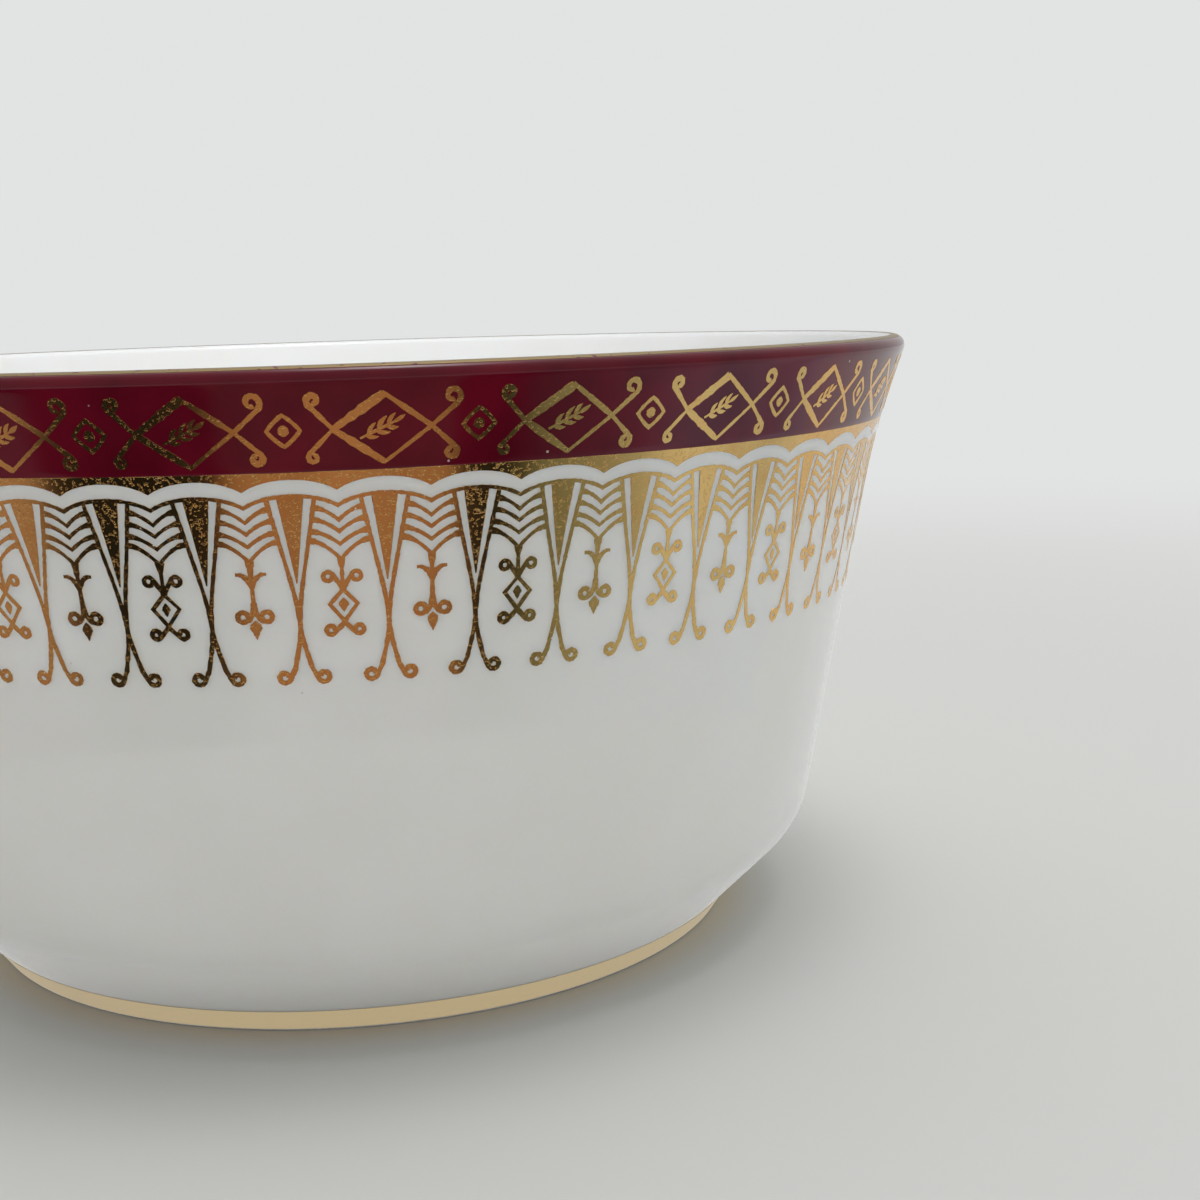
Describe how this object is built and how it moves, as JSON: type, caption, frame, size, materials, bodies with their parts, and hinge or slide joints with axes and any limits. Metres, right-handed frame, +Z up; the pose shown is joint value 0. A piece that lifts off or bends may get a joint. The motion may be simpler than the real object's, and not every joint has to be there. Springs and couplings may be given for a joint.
{
  "type": "footed porcelain bowl",
  "caption": "Footed bowl with flared rim, burgundy enamel band, gilt lines and printed gold lozenge and lambrequin borders; holds food or sugar and rests on its foot ring.",
  "frame": {"origin": "centre of the foot ring on the surface that the bowl stands on", "axes": "+Z up along the bowl's axis of turning; -Y is the side that faces the camera, +X to the right of it"},
  "size_m": [0.1124, 0.1124, 0.0567],
  "materials": {
    "glazed_china": "clear gloss glaze over white china",
    "burgundy_enamel": "glossy fired on-glaze enamel",
    "bright_gold": "fired bright gilding"
  },
  "bodies": {
    "root": {"china_body": "glazed_china", "burgundy_band": "burgundy_enamel", "rim_gilding": "bright_gold", "foot_gilding": "bright_gold", "scallop_strip": "bright_gold", "large_lozenges": "bright_gold", "small_lozenges": "bright_gold", "gold_wedges": "bright_gold", "crossed_wands": "bright_gold", "chevrons": "bright_gold", "sprig_pendants": "bright_gold", "diamond_pendants": "bright_gold"}
  },
  "joints": []
}
